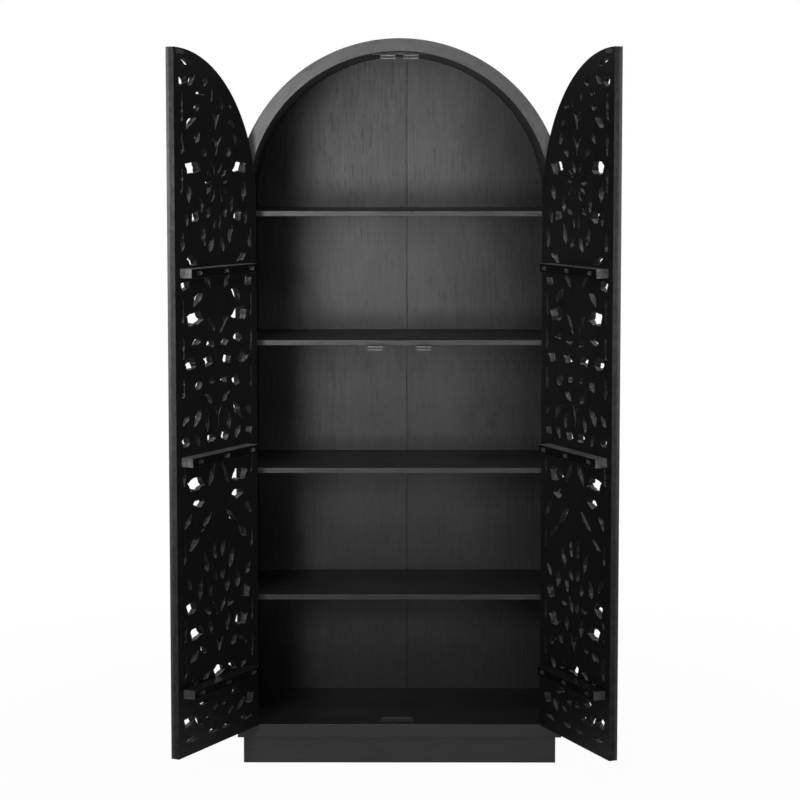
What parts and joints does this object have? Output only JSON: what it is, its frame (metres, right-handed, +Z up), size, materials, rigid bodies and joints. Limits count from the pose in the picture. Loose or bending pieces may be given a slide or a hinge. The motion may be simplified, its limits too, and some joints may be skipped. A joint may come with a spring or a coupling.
{
  "type": "tall cabinet",
  "caption": "Tall black-stained wooden cabinet with a round-arched top, fixed shelves on a recessed plinth and a pair of arched doors pierced with leaf-shaped openings.",
  "frame": {"origin": "on the floor under the middle of the carcass, on the underside of the plinth's bearer", "axes": "+X to the right of someone facing the cabinet, +Y from its front to its back, +Z up"},
  "size_m": [1.2956, 0.9265, 2.231],
  "materials": {
    "stained_wood": "black stain, satin, open grain",
    "carved_wood": "black stain, satin, carved",
    "batten_wood": "black stain, satin",
    "dowel_wood": "bare",
    "hinge_metal": "black oxide, satin",
    "catch_case": "dark paint, satin",
    "magnet": "dark ferrite",
    "plate_steel": "plated",
    "screw_steel": "plated, dull"
  },
  "bodies": {
    "carcass": {"side_panel_left": "stained_wood", "side_panel_right": "stained_wood", "arch_top": "stained_wood", "bottom_board": "stained_wood", "back_board_left": "stained_wood", "back_board_right": "stained_wood", "shelf_1": "stained_wood", "shelf_2": "stained_wood", "shelf_3": "stained_wood", "shelf_4": "stained_wood", "plinth_front": "stained_wood", "plinth_back": "stained_wood", "plinth_bearer": "stained_wood", "plinth_side_left": "stained_wood", "plinth_side_right": "stained_wood", "plinth_corner_blocks": "stained_wood", "crown_block": "stained_wood", "door_stop": "stained_wood", "carcass_dowels": "dowel_wood", "back_screws": "screw_steel", "catch_crown_left": "catch_case", "catch_shelf_left": "catch_case", "catch_crown_right": "catch_case", "catch_shelf_right": "catch_case", "catch_magnets": "magnet", "catch_pole_plates": "plate_steel", "catch_screws": "screw_steel", "left_hinge_low_frame_leaf": "hinge_metal", "left_hinge_mid_frame_leaf": "hinge_metal", "left_hinge_high_frame_leaf": "hinge_metal", "left_hinge_pins": "hinge_metal", "left_frame_screws": "screw_steel", "right_hinge_low_frame_leaf": "hinge_metal", "right_hinge_mid_frame_leaf": "hinge_metal", "right_hinge_high_frame_leaf": "hinge_metal", "right_hinge_pins": "hinge_metal", "right_frame_screws": "screw_steel"},
    "left_door": {"left_door_panel": "carved_wood", "left_batten_low": "batten_wood", "left_hinge_low_door_leaf": "hinge_metal", "left_batten_mid": "batten_wood", "left_hinge_mid_door_leaf": "hinge_metal", "left_batten_high": "batten_wood", "left_hinge_high_door_leaf": "hinge_metal", "left_strike_plates": "plate_steel", "left_hinge_screws": "screw_steel", "left_batten_screws": "screw_steel", "left_strike_screws": "screw_steel"},
    "right_door": {"right_door_panel": "carved_wood", "right_batten_low": "batten_wood", "right_hinge_low_door_leaf": "hinge_metal", "right_batten_mid": "batten_wood", "right_hinge_mid_door_leaf": "hinge_metal", "right_batten_high": "batten_wood", "right_hinge_high_door_leaf": "hinge_metal", "right_strike_plates": "plate_steel", "right_hinge_screws": "screw_steel", "right_batten_screws": "screw_steel", "right_strike_screws": "screw_steel"}
  },
  "joints": [
    {"name": "left_door_swing", "type": "hinge", "parent": "carcass", "child": "left_door", "pos_m": [-0.459, -0.2494, 1], "axis": [0, 0, -1], "range_deg": [-117, 53]},
    {"name": "right_door_swing", "type": "hinge", "parent": "carcass", "child": "right_door", "pos_m": [0.459, -0.2494, 1], "axis": [0, 0, 1], "range_deg": [-113, 57]}
  ]
}
